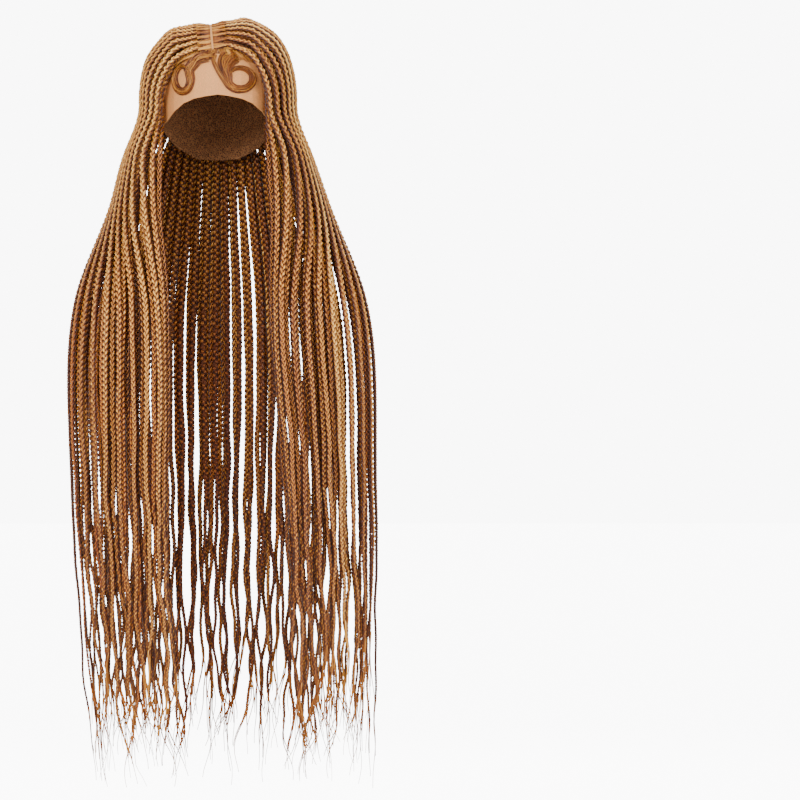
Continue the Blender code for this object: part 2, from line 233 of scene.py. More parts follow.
# The part ends behind the crown, and the rows run along it and then round its end. The front share of each
# row hangs in front, and the rows' braids are staggered, in braids
PART_BACK = 38.0
ARC_SHARE = 0.6
FRONT_SHARE = 0.50
STAGGER = 0.33

# A row climbs over the roots of those under it from one angle before them to the other
RAMP_START = 13.0
RAMP_END = 2.0
RAISED_BETWEEN = (0.3, 0.9)

# How far down the braids leave the cap at the sides and behind, the way round between the two, how straight
# they hang to there, and the edge of the front opening at each side
LEAVE_DOWN_SIDE = 91.0
LEAVE_DOWN_BACK = 101.0
LEAVE_TURN = (100.0, 150.0)
HANG_CONTROL = 0.2
OPENING_AZIMUTH = {-1: 46.0, 1: 36.0}

# How far the longest tip hangs below the crown, how much shorter the shortest braid is, and how far the
# curtains spread to each side
WIG_LENGTH = 0.918
TIP_SPREAD = 0.075
FRONT_SPREAD = 0.160
BACK_SPREAD = 0.137

# Points on a braid's way over the cap, along a row and round an oval, where their lengths are measured
HEAD_STEPS = 10
ROW_POINTS = 81
OVAL_POINTS = 41

# Angles in degrees. Each row: the angle of its roots from the part, where its laid hair starts, its front
# end, how far its first braid hangs behind the opening's edge, how many rows lie under it, the steps of a
# plait's period above, between and below the breaks in detail, the corners of a strand, a box's laid hairs.
Row = namedtuple(
    "Row", "name part_angle laid_angle front_angle behind_opening layer samples sides laid_hairs",
)
ROWS = (
    Row("crown", 9.0, 1.0, -50.0, 0.0, 2, (8, 6, 5), 4, 26),
    Row("middle", 32.0, 10.0, -51.0, 3.0, 1, (7, 6, 4), 4, 16),
    Row("lower", 58.0, 33.0, -62.0, 9.0, 0, (6, 5, 4), 3, 12),
)

# Where the curtains hang at each share of the length: their edges from side to side in shares of their
# spread, their depth in shares of the cap's half depth, the braids' width in shares of its most, and how far
# a braid strays from its place, in braids.
Station = namedtuple(
    "Station",
    "down left_inner left_outer right_inner right_outer front_inner_y front_outer_y"
    " back_edge back_edge_y back_middle_y width sway",
)
STATIONS = (
    Station(0.169, 0.420, 0.61, 0.358, 0.61, -0.84, 0.50, 0.64, 0.62, 1.03, 0.90, 0.00),
    Station(0.234, 0.430, 0.71, 0.393, 0.74, -0.88, 0.32, 0.76, 0.57, 1.01, 0.90, 0.02),
    Station(0.360, 0.375, 0.97, 0.388, 1.01, -0.92, -0.25, 1.00, 0.63, 1.03, 0.92, 0.05),
    Station(0.610, 0.375, 1.00, 0.494, 1.09, -0.93, -0.36, 1.00, 0.67, 1.06, 0.74, 0.14),
    Station(1.000, 0.288, 0.83, 0.575, 1.07, -0.88, -0.36, 0.96, 0.67, 1.06, 0.34, 0.30),
)


def unit(vectors):
    """Vectors made one long, whatever shape of array holds them."""
    vectors = np.asarray(vectors, float)
    return vectors / np.linalg.norm(vectors, axis=-1, keepdims=True)


def head_direction(azimuth, down):
    """Unit vector at degrees round from the front, positive to +X, and degrees down from the crown."""
    azimuth, down = math.radians(azimuth), math.radians(down)
    level = math.sin(down)
    return np.array([math.sin(azimuth) * level, -math.cos(azimuth) * level, math.cos(down)])


def head_points(directions, heights):
    """(points, normals) at heights above the form that the cap fits, in directions from its centre."""
    level = np.hypot(directions[:, 0], directions[:, 1])
    reach = (level**SQUARENESS + np.abs(directions[:, 2]) ** SQUARENESS) ** (-1 / SQUARENESS)
    scaled = directions * reach[:, None]
    level = np.maximum(np.hypot(scaled[:, 0], scaled[:, 1]), 1e-9) ** (SQUARENESS - 2)
    rise = np.sign(scaled[:, 2]) * np.abs(scaled[:, 2]) ** (SQUARENESS - 1)
    normals = unit(np.stack([level * scaled[:, 0], level * scaled[:, 1], rise], axis=1) / HEAD)
    points = scaled * HEAD - [0, 0, HEAD[2]] + normals * np.reshape(heights, (-1, 1))
    return points, normals


def lean(directions, degrees):
    """Directions turned about the Y axis, from upright towards -X."""
    turn = math.radians(degrees)
    x, y, z = np.moveaxis(directions, -1, 0)
    leant_x = x * math.cos(turn) - z * math.sin(turn)
    leant_z = x * math.sin(turn) + z * math.cos(turn)
    return np.stack([leant_x, y, leant_z], axis=-1)


def part_angles(directions):
    """Degrees between each direction and the nearest point of the part."""
    x, y, z = lean(directions, -PART_LEAN).T
    end = math.radians(PART_BACK)
    beside = np.degrees(np.arcsin(np.clip(np.abs(x), 0, 1)))
    behind = np.degrees(np.arccos(np.clip(y * math.sin(end) + z * math.cos(end), -1, 1)))
    return np.where(np.degrees(np.arctan2(y, z)) <= PART_BACK, beside, behind)


def row_direction(row, side, along, angle):
    """Unit vector at an angle from the part: along runs from 0 at the hairline round to 1 at the back."""
    angle = math.radians(angle)
    turn = math.radians(90) * max(0.0, along - ARC_SHARE) / (1 - ARC_SHARE)
    place = math.radians(row.front_angle + (PART_BACK - row.front_angle) * min(1.0, along / ARC_SHARE))
    on_part = np.array([0.0, math.sin(place), math.cos(place)])
    backward = np.array([0.0, math.cos(place), -math.sin(place)])
    away = np.array([side * math.cos(turn), 0.0, 0.0]) + backward * math.sin(turn)
    return lean(on_part * math.cos(angle) + away * math.sin(angle), PART_LEAN)


@functools.cache
def row_measure(row):
    """(own parameter, distance) along one side of a row."""
    along = np.linspace(0, 1, ROW_POINTS)
    directions = np.array([row_direction(row, 1, a, row.part_angle) for a in along])
    steps = np.linalg.norm(np.diff(head_points(directions, CAP_WALL)[0], axis=0), axis=1)
    return along, np.concatenate([[0.0], np.cumsum(steps)])


def braids_per_side(row):
    """How many boxes fit along one side of a row."""
    return int(row_measure(row)[1][-1] / BRAID_PITCH)


def row_place(row, count, position):
    """(side, own parameter) at a position counted in braids from the left hairline to the right one."""
    from_front = count - abs(position - count)
    along, distance = row_measure(row)
    place = float(np.interp(from_front / count * distance[-1], distance, along))
    return -1 if position < count else 1, place


def scatter(*keys):
    """A repeatable value from -1 to 1 for whole-number keys. Each use has a number of its own among them."""
    value = math.sin(sum(k * w for k, w in zip(keys, (12.9898, 78.233, 37.719)))) * 43758.5453
    return 2 * (value - math.floor(value)) - 1


def smooth_step(value, low, high):
    """0 up to low, 1 from high on, and a smooth rise between."""
    share = np.clip((value - low) / (high - low), 0, 1)
    return share * share * (3 - 2 * share)


def lift_over_rows(row, angles, shares):
    """How far a row is raised by those under it: on passing their roots, and by the end of its way down."""
    total = np.zeros(len(angles))
    for under in ROWS:
        if under.part_angle > row.part_angle:
            start = under.part_angle - RAMP_START * (row.layer - under.layer)
            ramp = smooth_step(angles, start, under.part_angle - RAMP_END)
            total += ROW_PITCH * np.maximum(ramp, smooth_step(shares, *RAISED_BETWEEN))
    return total


def quarter_oval(wide, deep, share):
    """(along wide, along deep, outward) at a share of the way round a quarter oval, from its deep end."""
    turns = np.linspace(0, math.pi / 2, OVAL_POINTS)
    points = np.stack([wide * np.sin(turns), deep * np.cos(turns)], axis=1)
    length = np.concatenate([[0.0], np.cumsum(np.linalg.norm(np.diff(points, axis=0), axis=1))])
    turn = float(np.interp(share * length[-1], length, turns))
    outward = unit([deep * math.sin(turn), wide * math.cos(turn)])
    return wide * math.sin(turn), deep * math.cos(turn), outward


def hang_place(station, side, share, is_front, tip):
    """(point, outward) at a station for a share of a curtain, from its front or its outer back edge."""
    if is_front:
        inner = FRONT_SPREAD * (station.left_inner if side < 0 else station.right_inner)
        outer = FRONT_SPREAD * (station.left_outer if side < 0 else station.right_outer)
        nearest, farthest = HEAD[1] * station.front_outer_y, HEAD[1] * station.front_inner_y
        across, ahead, out = quarter_oval(outer - inner, nearest - farthest, share)
        x, y, out = inner + across, nearest - ahead, (out[0], -out[1])
    else:
        edge, middle = HEAD[1] * station.back_edge_y, HEAD[1] * station.back_middle_y
        x, behind, out = quarter_oval(BACK_SPREAD * station.back_edge, middle - edge, 1 - share)
        y = edge + behind
    z = tip if station is STATIONS[-1] else -WIG_LENGTH * station.down
    return np.array([side * x, y, z]), np.array([side * out[0], out[1], 0.0])


def smooth_through(knots, values, at):
    """Values at places on a cubic through the knots, with slopes from their neighbours."""
    slopes = np.gradient(values, knots, axis=0)
    i = np.clip(np.searchsorted(knots, at, side="right") - 1, 0, len(knots) - 2)
    gap = (knots[i + 1] - knots[i])[:, None]
    u = (at - knots[i])[:, None] / gap
    start = (1 + 2 * u) * (1 - u) ** 2 * values[i] + u * (1 - u) ** 2 * gap * slopes[i]
    return start + u * u * (3 - 2 * u) * values[i + 1] - u * u * (1 - u) * gap * slopes[i + 1]


# The braids hang slack below the cap and sway. Each wave has a length and a size, which grows on the way
# down, and swings across the curtain as well as out of it.
ROUTE_STEP = 0.0015
WAVES = ((0.260, 0.0026), (0.130, 0.0016), (0.070, 0.0010))
WAVE_STRETCH = 0.25
SLACK_BETWEEN = (0.30, 0.95)
SWAY_TIGHT = 0.15
SWAY_SLACK = 1.5
SWAY_OUTWARD = 0.8

Route = namedtuple("Route", "points outward across along widths down")


def braid_route(row, count, index):
    """Smooth route of a braid, in even steps from its root to its tip."""
    side, along = row_place(row, count, index + 0.5)
    order = index if side < 0 else 2 * count - 1 - index
    opening = OPENING_AZIMUTH[side] + row.behind_opening
    azimuth = side * (opening + (180 - opening) * (order + 0.5) / count)
    root = row_direction(row, side, along, row.part_angle)
    root_down = math.degrees(math.acos(root[2]))
    backward = smooth_step(abs(azimuth), *LEAVE_TURN)
    leave_down = LEAVE_DOWN_SIDE + (LEAVE_DOWN_BACK - LEAVE_DOWN_SIDE) * backward
    control = head_direction(azimuth, root_down + HANG_CONTROL * (leave_down - root_down))
    leave = head_direction(azimuth, leave_down)
    t = np.linspace(0, 1, HEAD_STEPS)
    directions = unit(
        np.outer((1 - t) ** 2, root) + np.outer(2 * t * (1 - t), control) + np.outer(t * t, leave)
    )
    full_lift = BRAID_LIFT + BRAID_THICKNESS / 2
    rise = full_lift * (ROOT_LIFT_SHARE + (1 - ROOT_LIFT_SHARE) * smooth_step(t, 0, ROOT_LIFT_END))
    heights = CAP_WALL + rise + lift_over_rows(row, part_angles(directions), t)
    points, outward = head_points(directions, heights)
    fattening = (STATIONS[0].width - BRAID_ROOT_SHARE) * smooth_step(t, 0, FULL_WIDTH_AT)
    widths = BRAID_WIDTH * (BRAID_ROOT_SHARE + fattening)
    front_count = round(FRONT_SHARE * count)
    is_front = order < front_count
    own_count = front_count if is_front else count - front_count
    place = (order + 0.5 if is_front else order - front_count + 0.5) / own_count
    tip = TIP_SPREAD * (0.5 + 0.5 * scatter(index, row.layer, 7)) - WIG_LENGTH
    stagger = STAGGER * (row.layer - 1) * (1 if is_front else side)
    for number, station in enumerate(STATIONS):
        offset = stagger + station.sway * scatter(index, row.layer, number)
        share = place + offset / own_count
        point, out = hang_place(station, side, share, is_front, tip)
        points = np.vstack([points, point + out * row.layer * ROW_PITCH])
        outward = np.vstack([outward, out])
        widths = np.append(widths, BRAID_WIDTH * station.width)
    knots = np.concatenate([[0.0], np.cumsum(np.linalg.norm(np.diff(points, axis=0), axis=1))])
    at = np.arange(0, knots[-1], ROUTE_STEP)
    centres = smooth_through(knots, points, at)
    outward = smooth_through(knots, outward, at)
    heading = unit(np.gradient(centres, axis=0))
    across = unit(np.cross(outward, heading))
    slack = smooth_step(-centres[:, 2], *SLACK_BETWEEN)
    for number, (wavelength, size) in enumerate(WAVES):
        turn = 2 * math.pi * at / wavelength
        phase = math.pi * scatter(index, row.layer, 20 + number)
        stretch = 1 + WAVE_STRETCH * scatter(index, row.layer, 30 + number)
        swing = size * (SWAY_TIGHT + SWAY_SLACK * slack**1.5) * np.sin(turn / stretch + phase)
        out_phase = math.pi * scatter(index, row.layer, 40 + number)
        out_swing = SWAY_OUTWARD * size * slack**2 * np.sin(turn + out_phase)
        centres = centres + across * swing[:, None] + outward * out_swing[:, None]
    heading = unit(np.gradient(centres, axis=0))
    across = unit(np.cross(outward, heading))
    outward = np.cross(heading, across)
    down = -centres[:, 2] / WIG_LENGTH
    return Route(centres, outward, across, at, np.interp(at, knots, widths), down)


def tube_rings(centres, outward, half_width, half_thick, sides):
    """Ring vertices (points, sides, 3) of a tube, whose flat way lies across the outward direction."""
    heading = unit(np.gradient(centres, axis=0))
    across = unit(np.cross(outward, heading))
    out = np.cross(heading, across)
    turns = 2 * math.pi * np.arange(sides) / sides + math.pi / 2
    wide = across[:, None, :] * (np.cos(turns)[None, :, None] * np.reshape(half_width, (-1, 1, 1)))
    thick = out[:, None, :] * (np.sin(turns)[None, :, None] * np.reshape(half_thick, (-1, 1, 1)))
    return centres[:, None, :] + wide + thick


class Bundle:
    """Many tubes gathered into one mesh. Each vertex has a look, which is its tone, its height in the plait
    (which paints shade in the creases and a highlight on the ridges) and how auburn it is, and a place on the
    hair's own round and length, for the streaks."""

    def __init__(self):
        self.points, self.faces, self.looks, self.fibres, self.size = [], [], [], [], 0

    def add_tube(self, rings, tone, depth, auburn, along, seed):
        count, sides = rings.shape[:2]
        ring = np.arange(sides)
        low = self.size + np.arange(count - 1)[:, None] * sides
        a, b = low + ring, low + (ring + 1) % sides
        self.faces += np.stack([a, a + sides, b + sides, b], axis=-1).reshape(-1, 4).tolist()
        self.faces.append((self.size + ring).tolist())
        self.faces.append((self.size + (count - 1) * sides + ring[::-1]).tolist())
        self.points.append(rings.reshape(-1, 3))
        tone, auburn = np.reshape(tone, (-1, 1)), np.reshape(auburn, (-1, 1))
        look = np.stack(np.broadcast_arrays(tone, depth, auburn), axis=-1)
        self.looks.append(np.broadcast_to(look, (count, sides, 3)).reshape(-1, 3))
        turns = 2 * math.pi * ring / sides
        # A place of its own for each tube, so that no two have the same streaks
        fibre = np.empty((count, sides, 3))
        fibre[..., 0] = np.cos(turns) + 7.3 * seed
        fibre[..., 1] = np.sin(turns) + 3.1 * seed
        fibre[..., 2] = np.reshape(along, (-1, 1))
        self.fibres.append(fibre.reshape(-1, 3))
        self.size += count * sides

    def finish(self, name, material):
        mesh = bpy.data.meshes.new(name)
        mesh.from_pydata(np.concatenate(self.points), [], self.faces, shade_flat=False)
        for attribute, values in (("look", self.looks), ("fibre", self.fibres)):
            layer = mesh.attributes.new(attribute, "FLOAT_VECTOR", "POINT")
            layer.data.foreach_set("vector", np.concatenate(values).astype(np.float32).ravel())
        mesh.materials.append(material)
        piece = bpy.data.objects.new(name, mesh)
        bpy.context.scene.collection.objects.link(piece)
        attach(piece, "root")
        return piece


# The plait in shares of a braid's width: its period, the strands' radius, and how far they swing across and
# cross in depth. It ends in wisps, one a strand, which splay and curl. A strand's height in the plait paints
# shade into the creases and a highlight on to the ridges, and hair that isn't plaited has one height.
PERIOD_PER_WIDTH = 3.0
STRAND_SHARE = 0.285
STRAND_FLATNESS = 0.95
SWING_SHARE = 0.32
CROSS_SHARE = 0.18
PLAIT_START = 0.010
PLAIT_END = (0.85, 0.94)
UNPLAITED_BY = 0.25
DETAIL_BREAKS = (0.36, 0.62)
STRAND_TONE = 0.10
LOW_TONE = 0.20
AUBURN_BETWEEN = (0.2, 0.5)
WISP_POINTS = 12
WISP_RADIUS = (0.00085, 0.00035)
WISP_SPLAY = 0.020
WISP_REACH = (1.0, 0.75, 0.45)
WISP_CURL = 0.0020
WISP_CURL_RATE = 80
WISP_DEPTH = 0.4
LOOSE_HEIGHT = 0.70


def add_plait(bundle, row, route, index, tone, auburn):
    """One plait of three strands along a route, and the loose wisps that it ends in."""
    total = route.along[-1]
    end_share = PLAIT_END[0] + (PLAIT_END[1] - PLAIT_END[0]) * (0.5 + 0.5 * scatter(index, row.layer, 50))
    period = PERIOD_PER_WIDTH * route.widths
    phase = np.cumsum(2 * math.pi * ROUTE_STEP / period)
    near, lower = (route.down < share for share in DETAIL_BREAKS)
    ticks = np.cumsum(np.select([near, lower], row.samples[:2], row.samples[2]) * ROUTE_STEP / period)
    plait_end = np.interp(total * end_share, route.along, ticks)
    at = np.interp(np.arange(ticks[0], plait_end), ticks, route.along)
    at = np.concatenate([at, np.linspace(total * end_share, total, WISP_POINTS)[1:]])

    def read(values):
        return np.stack([np.interp(at, route.along, column) for column in values.T], axis=1)

    centre, outward, across = read(route.points), read(route.outward), read(route.across)
    width = np.interp(at, route.along, route.widths)
    turn = np.interp(at, route.along, phase)
    down = np.interp(at, route.along, route.down)
    loose = smooth_step(at, total * end_share, total)
    plaited = smooth_step(at, 0, PLAIT_START) * (1 - smooth_step(loose, 0, UNPLAITED_BY))
    for strand, reach in enumerate(WISP_REACH):
        angle = turn + 2 * math.pi * strand / 3
        splay = WISP_SPLAY * scatter(index, strand, 80 + row.layer)
        curl = WISP_CURL * np.sin(at * WISP_CURL_RATE + 2.1 * strand + index)
        side_way = SWING_SHARE * width * np.sin(angle) * plaited + loose * (splay + curl)
        depth_way = -CROSS_SHARE * width * np.sin(2 * angle) * plaited + WISP_DEPTH * loose * curl
        path = centre + across * side_way[:, None] + outward * depth_way[:, None]
        wisp = np.interp(loose, (0, reach), WISP_RADIUS)
        radius = np.where(loose > 0, np.minimum(STRAND_SHARE * width, wisp), STRAND_SHARE * width)
        rings = tube_rings(path, outward, radius, radius * STRAND_FLATNESS, row.sides)
        # A strand's height in the plait, from which the material paints shade in the creases and a highlight
        # on the ridges
        height = np.einsum("psk,pk->ps", rings - centre[:, None, :], outward)
        depth = np.abs(height) / ((CROSS_SHARE + STRAND_SHARE) * width)[:, None]
        depth = np.where(loose[:, None] > 0, LOOSE_HEIGHT, depth)
        shade = tone + STRAND_TONE * scatter(index, strand, 60 + row.layer) - LOW_TONE * down
        auburn_here = auburn * smooth_step(down, *AUBURN_BETWEEN)
        seed = scatter(index, strand, row.layer)
        kept = loose <= reach
        bundle.add_tube(rings[kept], shade[kept], depth[kept], auburn_here[kept], at[kept], seed)


# Modacrylic braiding hair: fine parallel fibres with a soft, slightly waxy shine. It is a blend of honey,
# caramel and auburn strands, so each strand has its own tone. By a strand's height in the plait, shade is
# painted dark into the creases between strands and a highlight is painted on to their ridges. The streaks run
# with the hair, and are drawn as coarse as they need to show.
# The hair's own tones. The dark and light ends of this scale also give the plait's painted shade and painted
# highlight
HAIR_TONES_AND_PAINTED_LIGHT = ((0.0, "#4A1C04"), (0.3, "#904C10"), (0.55, "#CC8630"), (0.78, "#F6BC58"), (1.0, "#FFE49C"))
# Painted shade: the colour laid into the creases between strands
CREASE_SHADE = "#3C1404"
CREASE_SHADE_HEIGHTS = (0.26, 0.58)
# Painted light and shade by height in the plait: a strand's sides are darkened and its ridge is brightened
# into a painted highlight
RIDGE_LIGHT_HEIGHTS = (0.45, 0.95)
RIDGE_LIGHT_AND_SHADE = (-0.22, 0.34)
STREAK_STRETCH = (1.0, 1.0, 45.0)
STREAK_RANGE = (0.3, 0.7)
STREAK_TONE = 0.16
STREAK_RELIEF = 0.0004
AUBURN = "#FFDFD4"

hair, tree, shader = new_material("modacrylic braiding hair", Roughness=0.42, Specular_IOR_Level=0.4)
look_vector = add(tree, "ShaderNodeAttribute", attribute_name="look").outputs["Vector"]
look = add(tree, "ShaderNodeSeparateXYZ", {"Vector": look_vector})
fibre = add(tree, "ShaderNodeAttribute", attribute_name="fibre").outputs["Vector"]
stretched = add(tree, "ShaderNodeVectorMath", {0: fibre, 1: STREAK_STRETCH}, operation="MULTIPLY")
streak = add(
    tree, "ShaderNodeTexNoise",
    {"Vector": stretched.outputs["Vector"], "Scale": 3.2, "Detail": 3.0, "Roughness": 0.7},
)
streak_shift = add(
    tree, "ShaderNodeMapRange",
    {
        "Value": streak.outputs["Fac"], "From Min": STREAK_RANGE[0], "From Max": STREAK_RANGE[1],
        "To Min": -STREAK_TONE, "To Max": STREAK_TONE,
    },
)
# Painted highlight on a strand's ridge and painted shade on its sides, by its height in the plait
ridge_light_and_shade = add(
    tree, "ShaderNodeMapRange",
    {
        "Value": look.outputs["Y"], "From Min": RIDGE_LIGHT_HEIGHTS[0], "From Max": RIDGE_LIGHT_HEIGHTS[1],
        "To Min": RIDGE_LIGHT_AND_SHADE[0], "To Max": RIDGE_LIGHT_AND_SHADE[1],
    },
)
streaked = add(
    tree, "ShaderNodeMath", {0: look.outputs["X"], 1: streak_shift.outputs["Result"]}, operation="ADD",
)
tone = add(
    tree, "ShaderNodeMath", {0: streaked.outputs["Value"], 1: ridge_light_and_shade.outputs["Result"]}, operation="ADD",
)
ramp = add(tree, "ShaderNodeValToRGB", {"Fac": tone.outputs["Value"]})
while len(ramp.color_ramp.elements) < len(HAIR_TONES_AND_PAINTED_LIGHT):
    ramp.color_ramp.elements.new(0.5)
for element, (position, text) in zip(ramp.color_ramp.elements, HAIR_TONES_AND_PAINTED_LIGHT):
    element.position = position
    element.color = colour(text)
reddened = add(
    tree, "ShaderNodeMix", {"Factor": look.outputs["Z"], "A": ramp.outputs["Color"], "B": colour(AUBURN)},
    data_type="RGBA", blend_type="MULTIPLY",
)
# Painted shade in the creases between strands, by their height in the plait
crease_shade = add(
    tree, "ShaderNodeMapRange",
    {"Value": look.outputs["Y"], "From Min": CREASE_SHADE_HEIGHTS[0], "From Max": CREASE_SHADE_HEIGHTS[1]},
)
base = add(
    tree, "ShaderNodeMix",
    {"Factor": crease_shade.outputs["Result"], "A": colour(CREASE_SHADE), "B": reddened.outputs["Result"]},
    data_type="RGBA",
)
tree.links.new(base.outputs["Result"], shader.inputs["Base Color"])
bump = add(
    tree, "ShaderNodeBump", {"Height": streak.outputs["Fac"], "Strength": 0.6, "Distance": STREAK_RELIEF},
)
tree.links.new(bump.outputs["Normal"], shader.inputs["Normal"])


# Hair laid flat over a box, from the part or the row above to the root of the plait, and a little under it.
# The hairline's front angle goes by the angle from the part. Slants and shifts along the row are in braids.
LAID_FRONT = ((9.0, 32.0, 58.0), (-51.0, -52.0, -62.0))
LAID_POINTS = 8
LAID_UNDER_PLAIT = 3.0
CROWN_SLANT = 0.25
SLANT_MIDDLE = 0.8
LAID_JITTER = 0.04
GATHERED_BETWEEN = (0.15, 0.95)
GATHERED_SHARE = 0.72
LAID_HEIGHT = 0.0003
LAID_HEAP = (0.0016, 0.0020)
HEAPED_BETWEEN = (0.1, 1.0)
LAID_ROUGHNESS = 0.0002
LAID_RADIUS = (0.00036, 0.00050)
LAID_FLATNESS = 1.3
LAID_TONE_SPREAD = 0.30
# Painted shade: laid hair is darkened towards its box's edges, as shadow between the boxes
LAID_EDGE_SHADE = 0.50
LAID_LENGTH = 0.02


def add_laid_hair(bundle, row, count, index, tone):
    """The hair of one box, combed flat from its far edge, drawn together and taken into the plait's start."""
    share = np.linspace(0, 1, LAID_POINTS)
    span = row.laid_angle + (row.part_angle + LAID_UNDER_PLAIT - row.laid_angle) * share
    slant = CROWN_SLANT if row.name == "crown" else 0.0
    gathering = 1 - GATHERED_SHARE * smooth_step(share, *GATHERED_BETWEEN)
    for hair_number in range(row.laid_hairs):
        spread = (hair_number + 0.5) / row.laid_hairs - 0.5
        jitter = LAID_JITTER * scatter(index, hair_number, row.layer)
        offsets = (spread + jitter) * gathering + slant * (SLANT_MIDDLE - share)
        directions = []
        for angle, offset in zip(span, offsets):
            side, along = row_place(row, count, index + 0.5 + offset * (1 if index < count else -1))
            fitted = row._replace(front_angle=float(np.interp(angle, *LAID_FRONT)))
            directions.append(row_direction(fitted, side, along, angle))
        heap = LAID_HEAP[0] + LAID_HEAP[1] * (1 - 4 * spread * spread)
        heights = CAP_WALL + LAID_HEIGHT + heap * smooth_step(share, *HEAPED_BETWEEN)
        heights = heights + LAID_ROUGHNESS * scatter(index, hair_number, 5)
        points, normals = head_points(np.array(directions), heights)
        thick = np.linspace(*LAID_RADIUS, len(share))
        rings = tube_rings(points, normals, thick * LAID_FLATNESS, thick, 3)
        shade = tone + LAID_TONE_SPREAD * scatter(hair_number, index, row.layer)
        # Painted shade towards the box's edges
        shade = shade - LAID_EDGE_SHADE * abs(2 * spread) ** 3
        seed = scatter(hair_number, index, 3)
        bundle.add_tube(rings, shade, LOOSE_HEIGHT, 0.0, share * LAID_LENGTH, seed)


# Tones of whole braids on the scale of the hair's tones, and which of them are auburn
BRAID_TONE = 0.50
ROW_TONE = 0.04
BRAID_TONE_SPREAD = 0.10
MOST_AUBURN = 0.9
AUBURN_BRAIDS = (0.1, 0.8)
LAID_DARKER = 0.14

for row in ROWS:
    count = braids_per_side(row)
    front = round(FRONT_SHARE * count)
    groups = {"left": (0, front), "back": (front, 2 * count - front), "right": (2 * count - front, 2 * count)}
    for place_name, (first, last) in groups.items():
        bundle = Bundle()
        for index in range(first, last):
            tone = BRAID_TONE + ROW_TONE * (row.layer - 1)
            tone = tone + BRAID_TONE_SPREAD * scatter(index, row.layer, 70)
            auburn = MOST_AUBURN * smooth_step(scatter(index, row.layer, 90), *AUBURN_BRAIDS)
            add_plait(bundle, row, braid_route(row, count, index), index, tone, auburn)
            add_laid_hair(bundle, row, count, index, tone - LAID_DARKER)
        piece = bundle.finish(f"{row.name}_plaits_{place_name}", hair)
        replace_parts(piece, f"{row.name}_braids_{place_name}")


# Laid curls
# Short edge hair of the same fibre, drawn out below the hairline, gelled flat on the lace and turned into a
# ring at each side. Every lock is a ribbon of fine hairs that narrows to its tip, and baby hair lies along
# the hairline beside it. A hair's radius is given at shares of its length, and its heap is above the lace.
LACE_WALL = 0.0010
RIBBON_HALF = ((0.0, 0.25, 0.60, 1.0), (0.0072, 0.0052, 0.0040, 0.0020))
RING_HAIRS = 100
RING_POINTS = 9
LOCK_HAIR_POINTS = 34
LOCK_HAIR_RADIUS = ((0.0, 0.7, 1.0), (0.00034, 0.00032, 0.00014))
LOCK_HEAP = (0.0004, 0.0022)
LOCK_ROOT_SPREAD = 0.5
LOCK_TIP_SPREAD = 1.6
LOCK_DRIFT = 0.14
LOCK_TONE = 0.26
LOCK_TONE_SPREAD = 0.36
# Painted shade: a lock's hairs are darkened towards the ribbon's edges, where it falls to the lace
LOCK_EDGE_SHADE = 0.46
LOCK_AUBURN = 0.1
# Edge hair has one height for the hair material's painted shade and highlight
EDGE_HAIR_HEIGHT = 0.72

# Middle of each lock, from the hairline down its stem and round its oval ring. Places are shares of the cap's
# half width, and of its height downwards from the crown.
Ring = namedtuple("Ring", "x z wide high")
LEFT_RING = Ring(-0.560, 0.670, 0.132, 0.150)
RIGHT_RING = Ring(0.350, 0.670, 0.205, 0.128)
RIGHT_WISP = Ring(0.350, 0.670, 0.240, 0.150)
Lock = namedtuple("Lock", "stem ring start_deg sweep_deg hairs half_scale")
LOCKS = {
    "laid_curl_left": (
        Lock(((-0.14, 0.395), (-0.31, 0.425), (-0.395, 0.505)), LEFT_RING, 35, -345, RING_HAIRS, 1.0),
        Lock(((-0.04, 0.385), (-0.22, 0.400), (-0.36, 0.450)), LEFT_RING, 55, -150, 30, 0.8),
    ),
    "laid_curl_right": (
        Lock(((0.30, 0.400), (0.19, 0.460), (0.13, 0.560)), RIGHT_RING, 165, 350, RING_HAIRS, 1.0),
        Lock(((0.16, 0.385), (0.08, 0.430), (0.07, 0.520)), RIGHT_RING, 178, 130, 34, 0.9),
        Lock(((-0.03, 0.385), (-0.06, 0.470), (0.02, 0.600)), RIGHT_WISP, 205, 70, 16, 0.5),
    ),
}


def front_points(shares, heights):
    """(points, normals) on the front of the form that the cap fits, at places seen from the front."""
    up = 1 - shares[:, 1]
    level = (1 - np.abs(up) ** SQUARENESS) ** (2 / SQUARENESS)
    toward = np.stack([shares[:, 0], -np.sqrt(level - shares[:, 0] ** 2), up], axis=1)
    return head_points(unit(toward), heights)


def lock_middle(lock):
    """Middle line of a lock, as shares."""
    turns = np.radians(lock.start_deg + lock.sweep_deg * np.linspace(0, 1, RING_POINTS))
    x = lock.ring.x + lock.ring.wide * np.cos(turns)
    z = lock.ring.z - lock.ring.high * np.sin(turns)
    return np.vstack([lock.stem, np.stack([x, z], axis=1)])


